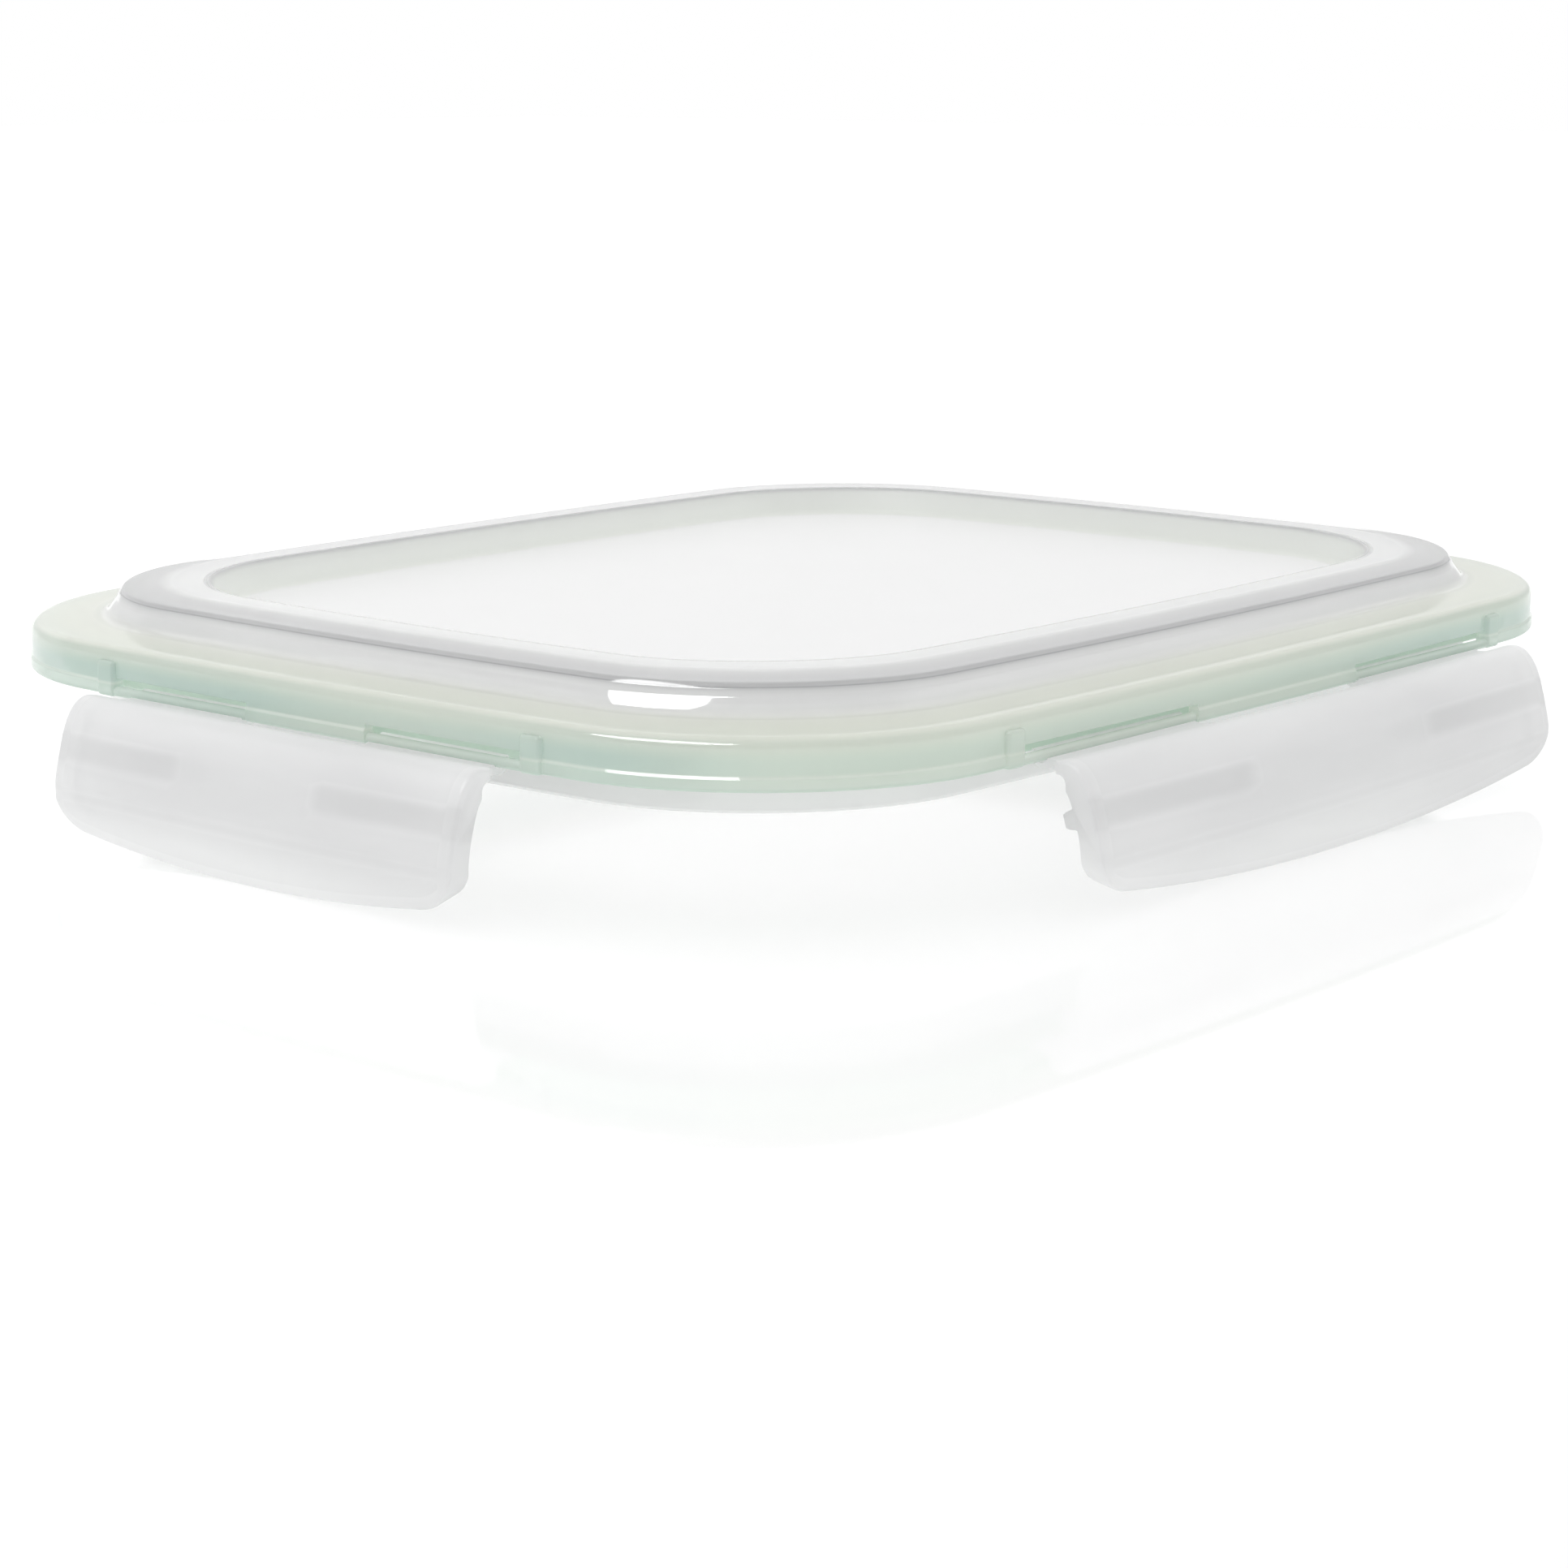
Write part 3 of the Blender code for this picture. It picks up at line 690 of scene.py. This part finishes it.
    glass = n.add("ShaderNodeBsdfPrincipled")
    glass.inputs["Base Color"].default_value = (0.97, 0.975, 0.97, 1)
    glass.inputs["Transmission Weight"].default_value = 1.0
    glass.inputs["IOR"].default_value = 1.49
    wall = n.math("MULTIPLY", n.mapped(inset, 0.0, 1.0, 19.6, 20.6),
                  n.mapped(inset, 1.0, 0.8, 22.4, 23.4))
    polish = n.math("MULTIPLY_ADD", wall, 0.42)
    n.join(n.mapped(smudge, 0.03, 0.06, 0.35, 0.75), polish.node.inputs[2])
    n.join(polish, glass.inputs["Roughness"])
    n.join(n.mapped(wall, 0.8, 0.0), glass.inputs["Coat Weight"])
    glass.inputs["Coat Roughness"].default_value = 0.02
    milk = n.add("ShaderNodeBsdfPrincipled")
    n.join(colour, milk.inputs["Base Color"])
    n.join(n.mapped(wall, 0.07, 0.4), milk.inputs["Roughness"])
    n.join(n.mapped(wall, 0.5, 0.12), milk.inputs["Specular IOR Level"])
    milk.inputs["IOR"].default_value = 1.49
    through = n.add("ShaderNodeBsdfTranslucent")
    n.join(colour, through.inputs["Color"])
    milky = n.mix_shader(0.35, milk.outputs[0], through.outputs[0])
    body = n.mix_shader(cloudy, glass.outputs[0], milky)
    # The plug wall below the skirt is thin and reads clearer than the rest.
    thin = n.add("ShaderNodeBsdfTransparent")
    thin.inputs["Color"].default_value = (0.99, 0.99, 0.99, 1)
    body = n.mix_shader(n.mapped(parts.outputs["Z"], 0.42, 0.0, (SKIRT_Z - 0.3) * MM,
                                 SKIRT_Z * MM), body, thin.outputs[0])
    shadow = n.add("ShaderNodeBsdfTransparent")
    shadow.inputs["Color"].default_value = (0.90, 0.905, 0.90, 1)
    light = n.add("ShaderNodeLightPath")
    surface = n.mix_shader(light.outputs["Is Shadow Ray"], body, shadow.outputs[0])
    return n.finish(surface)


def mint_silicone():
    n = Nodes("mint_silicone_look")
    geometry = n.add("ShaderNodeNewGeometry")
    coords = n.add("ShaderNodeTexCoord").outputs["Object"]
    normal_z = n.add("ShaderNodeSeparateXYZ")
    n.join(geometry.outputs["Normal"], normal_z.inputs[0])
    # Painted light: faces turned up are painted a lighter ivory and the sides keep the mint, as if lit
    # from above.
    painted_top_light = n.mapped(normal_z.outputs["Z"], 0.0, 1.0, 0.2, 0.9)
    cloud = n.noise(45.0, 3.0, 0.5, coords)
    mint = n.mix_colour(cloud, (0.70, 0.82, 0.74, 1), (0.75, 0.85, 0.78, 1))
    painted_light_ivory = (0.88, 0.87, 0.76, 1)
    colour = n.mix_colour(painted_top_light, mint, painted_light_ivory)
    diffuse = n.add("ShaderNodeBsdfPrincipled")
    n.join(colour, diffuse.inputs["Base Color"])
    diffuse.inputs["Roughness"].default_value = 0.38
    diffuse.inputs["Specular IOR Level"].default_value = 0.35
    through = n.add("ShaderNodeBsdfTranslucent")
    n.join(colour, through.inputs["Color"])
    n.join(n.bump(n.noise(500.0, 3.0, 0.6, coords), 0.15, 0.0002), diffuse.inputs["Normal"])
    body = n.mix_shader(0.35, diffuse.outputs[0], through.outputs[0])
    shadow = n.add("ShaderNodeBsdfTransparent")
    shadow.inputs["Color"].default_value = (0.60, 0.66, 0.62, 1)
    light = n.add("ShaderNodeLightPath")
    return n.finish(n.mix_shader(light.outputs["Is Shadow Ray"], body, shadow.outputs[0]))


def frosted_plastic():
    n = Nodes("frosted_plastic_look")
    coords = n.add("ShaderNodeTexCoord").outputs["Object"]
    backing_and_crease_shade = n.add("ShaderNodeAttribute", attribute_name="backing_and_crease_shade").outputs["Fac"]
    stretch = n.add("ShaderNodeMapping")
    stretch.inputs["Scale"].default_value = (0.16, 1.0, 1.0)
    n.join(coords, stretch.inputs["Vector"])
    flow = n.noise(70.0, 3.0, 0.5, stretch.outputs[0])
    grain = n.noise(2600.0, 2.0, 0.6, coords)
    colour = n.mix_colour(n.mapped(flow, 0.0, 1.0, 0.35, 0.65),
                          (0.89, 0.89, 0.895, 1), (0.995, 0.995, 0.997, 1))
    # Painted shade and highlight: the colour darkens over the ridges behind the face and along the crease,
    # and the turned lips are painted a touch lighter.
    shaded_tone = n.add("ShaderNodeValToRGB")
    n.join(backing_and_crease_shade, shaded_tone.inputs[0])
    ramp = shaded_tone.color_ramp
    ramp.elements[0].position, ramp.elements[0].color = 0.0, grey(0.96)
    ramp.elements[1].position, ramp.elements[1].color = 1.0, grey(0.90)
    ramp.elements.new(0.2).color = grey(0.98)
    ramp.elements.new(0.62).color = grey(0.90)
    shade = shaded_tone.outputs[0]
    dim = n.add("ShaderNodeVectorMath", operation="SCALE")
    n.join(colour, dim.inputs[0])
    n.join(shade, dim.inputs["Scale"])
    normal = n.bump(grain, 0.18, 0.00006)
    face = n.add("ShaderNodeBsdfPrincipled")
    n.join(dim.outputs[0], face.inputs["Base Color"])
    n.join(n.mapped(flow, 0.30, 0.42), face.inputs["Roughness"])
    face.inputs["IOR"].default_value = 1.49
    n.join(normal, face.inputs["Normal"])
    through = n.add("ShaderNodeBsdfTranslucent")
    n.join(dim.outputs[0], through.inputs["Color"])
    veil = n.add("ShaderNodeBsdfTransparent")
    veil.inputs["Color"].default_value = grey(0.98)
    body = n.mix_shader(0.45, face.outputs[0], through.outputs[0])
    surface = n.mix_shader(n.mapped(backing_and_crease_shade, 0.22, 0.12), body, veil.outputs[0])
    shadow = n.add("ShaderNodeBsdfTransparent")
    shadow.inputs["Color"].default_value = grey(0.55)
    light = n.add("ShaderNodeLightPath")
    surface = n.mix_shader(light.outputs["Is Shadow Ray"], surface, shadow.outputs[0])
    return n.finish(surface)


lid.data.materials.clear()
lid.data.materials.append(clear_plastic())
seal.data.materials.clear()
seal.data.materials.append(mint_silicone())
frost = frosted_plastic()
for obj in latches.values():
    obj.data.materials.clear()
    obj.data.materials.append(frost)


# --- floor, light and camera ----------------------------------------------------
def floor_look():
    n = Nodes("white_acrylic")
    coords = n.add("ShaderNodeTexCoord").outputs["Object"]
    base = n.add("ShaderNodeBsdfPrincipled")
    parts = n.add("ShaderNodeSeparateXYZ")
    n.join(coords, parts.inputs[0])
    # Painted shade: the base colour falls from 0.47 to 0.36 towards +X+Y, darkening that side of the
    # floor.
    painted_shade_across = n.math("ADD", n.math("MULTIPLY", parts.outputs["X"], 0.759),
                   n.math("MULTIPLY", parts.outputs["Y"], 0.651))
    shaded_tone = n.math("MULTIPLY_ADD", n.noise(6.0, 2.0, 0.5, coords), 0.02)
    n.join(n.mapped(painted_shade_across, 0.47, 0.36, -0.08, 0.14), shaded_tone.node.inputs[2])
    n.join(shaded_tone, base.inputs["Base Color"])
    base.inputs["Roughness"].default_value = 0.04
    base.inputs["IOR"].default_value = 1.45
    base.inputs["Emission Color"].default_value = grey(1.0)
    base.inputs["Emission Strength"].default_value = FLOOR_GLOW
    return n.finish(base.outputs[0])


FLOOR_GLOW = 0.465
bm = bmesh.new()
bmesh.ops.create_grid(bm, x_segments=2, y_segments=2, size=4.0)
floor = link("floor", to_mesh(bm, "floor"))
floor.data.materials.append(floor_look())

# White behind the lid and above it, greyer on the camera's side, so that upright
# faces shade darker than flat ones.
world = Nodes("studio", is_world=True)
direction = world.add("ShaderNodeTexCoord").outputs["Generated"]
parts = world.add("ShaderNodeSeparateXYZ")
world.join(direction, parts.inputs[0])


def towards(x, y):
    return world.math("ADD", world.math("MULTIPLY", parts.outputs["X"], x),
                      world.math("MULTIPLY", parts.outputs["Y"], y))


low = world.mapped(parts.outputs["Z"], 1.0, 0.25, 0.35, 0.85)
front = world.mapped(towards(0.651, -0.759), 0.0, 0.34, -0.1, 0.8)
right = world.mapped(towards(0.759, 0.651), -0.10, 0.26, -0.9, 0.9)
dark = world.math("MULTIPLY", world.math("ADD", front, right), low)
radiance = world.math("SUBTRACT", world.mapped(parts.outputs["Z"], 1.02, 1.22, 0.0, 0.4), dark)
light = world.add("ShaderNodeLightPath")
seen = world.add("ShaderNodeBackground")
lit = world.add("ShaderNodeBackground")
world.join(radiance, lit.inputs["Strength"])
seen.inputs["Color"].default_value = lit.inputs["Color"].default_value = grey(1.0)
out = world.add("ShaderNodeOutputWorld")
world.join(world.mix_shader(light.outputs["Is Camera Ray"], lit.outputs[0], seen.outputs[0]),
           out.inputs[0])
bpy.context.scene.world = world.owner


def softbox(name, azimuth, elevation, distance, width, height, radiance, roll):
    """An oval light facing the lid. Azimuth is measured from +X."""
    a, e = math.radians(azimuth), math.radians(elevation)
    data = bpy.data.lights.new(name, "AREA")
    data.shape = "ELLIPSE"
    data.size, data.size_y = width, height
    data.energy = radiance * math.pi * width * height
    obj = link(name, data)
    away = Vector((math.cos(e) * math.cos(a), math.cos(e) * math.sin(a), math.sin(e)))
    obj.location = away * distance
    obj.rotation_mode = "QUATERNION"
    obj.rotation_quaternion = (away.to_track_quat("Z", "Y")
                               @ Quaternion((0, 0, 1), math.radians(roll)))
    return obj


strip = softbox("strip_left", -95.0, 48.0, 1.0, 0.90, 0.36, 9.0, 10.0)
strip.visible_diffuse = False
strip.visible_transmission = False

SHOT_AZIMUTH, SHOT_PITCH = math.radians(40.621), math.radians(11.945)
forward = Vector((
    -math.sin(SHOT_AZIMUTH) * math.cos(SHOT_PITCH),
    math.cos(SHOT_AZIMUTH) * math.cos(SHOT_PITCH),
    -math.sin(SHOT_PITCH),
))
camera = link("camera", bpy.data.cameras.new("camera"))
camera.data.sensor_width = 36.0
camera.data.lens = 78.84
camera.data.clip_start, camera.data.clip_end = 0.02, 50.0
camera.location = (0.324739, -0.383591, 0.083790 + SKIRT_Z * MM)
camera.rotation_mode = "QUATERNION"
camera.rotation_quaternion = forward.to_track_quat("-Z", "Y")
bpy.context.scene.camera = camera
bpy.context.scene.view_settings.view_transform = "Standard"
